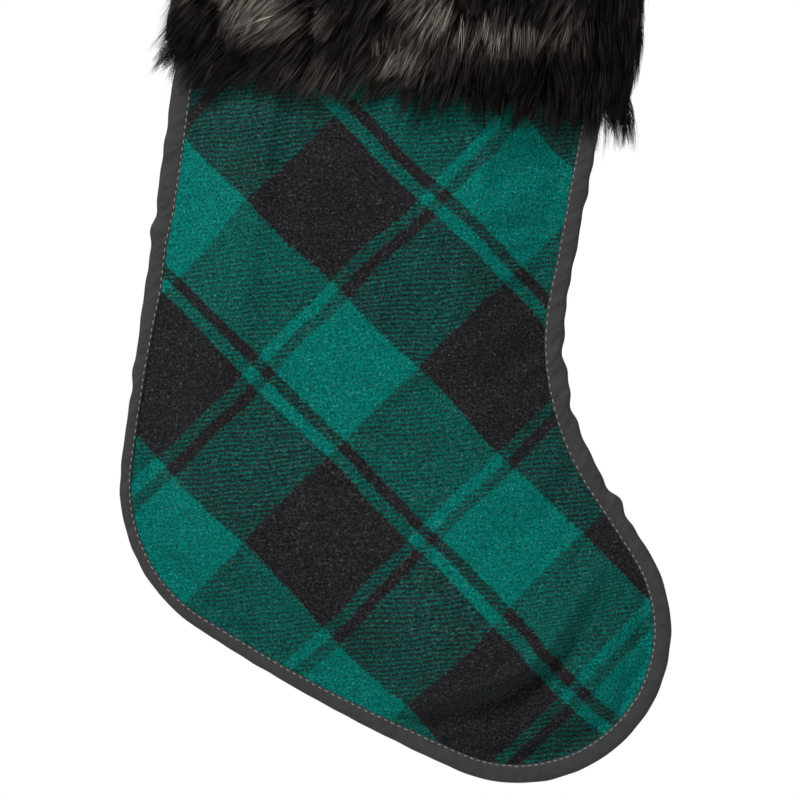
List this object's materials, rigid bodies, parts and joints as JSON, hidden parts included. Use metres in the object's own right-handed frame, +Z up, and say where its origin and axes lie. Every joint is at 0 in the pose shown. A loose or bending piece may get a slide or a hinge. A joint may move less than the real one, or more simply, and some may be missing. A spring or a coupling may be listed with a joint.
{
  "type": "hanging stocking",
  "caption": "Boot-shaped cloth stocking with plaid wool sides, dark tape-bound edge, deep faux-fur cuff, lined pouch and a folding tape loop to hang it by.",
  "frame": {"origin": "where the hook touches the inside of the hanging loop, at the top of its eye", "axes": "+Z up, +X towards the toe, -Y out of the front; the leg leans 7.7 degrees, heel swung out to -X"},
  "size_m": [0.2756, 0.0698, 0.5218],
  "materials": {
    "plaid_wool": "brushed twill wool, green and black plaid cut on the bias",
    "lining_satin": "smooth black lining cloth with a slight sheen",
    "binding_tape": "charcoal bias tape, fine plain weave",
    "loop_tape": "charcoal bias tape folded double",
    "topstitch_thread": "light grey sewing thread",
    "seam_thread": "black sewing thread",
    "faux_fur": "long-pile black faux fur with brown-grey highlights"
  },
  "bodies": {
    "stocking": {"front_panel": "plaid_wool", "back_panel": "plaid_wool", "front_lining": "lining_satin", "back_lining": "lining_satin", "edge_binding": "binding_tape", "binding_stitching_front": "topstitch_thread", "binding_stitching_back": "topstitch_thread", "cuff_front": "faux_fur", "cuff_back": "faux_fur", "cuff_binding_heel": "binding_tape", "cuff_binding_toe": "binding_tape", "mouth_stitching": "seam_thread", "loop_tails": "loop_tape", "loop_tack": "seam_thread"},
    "loop": {"hanging_loop": "loop_tape"}
  },
  "joints": [
    {"name": "loop_flex", "type": "hinge", "parent": "stocking", "child": "loop", "pos_m": [0, 0, -0.052], "axis": [0, 1, 0], "range_deg": [-75, 90], "stiffness_Nm_per_rad": 0.002}
  ]
}
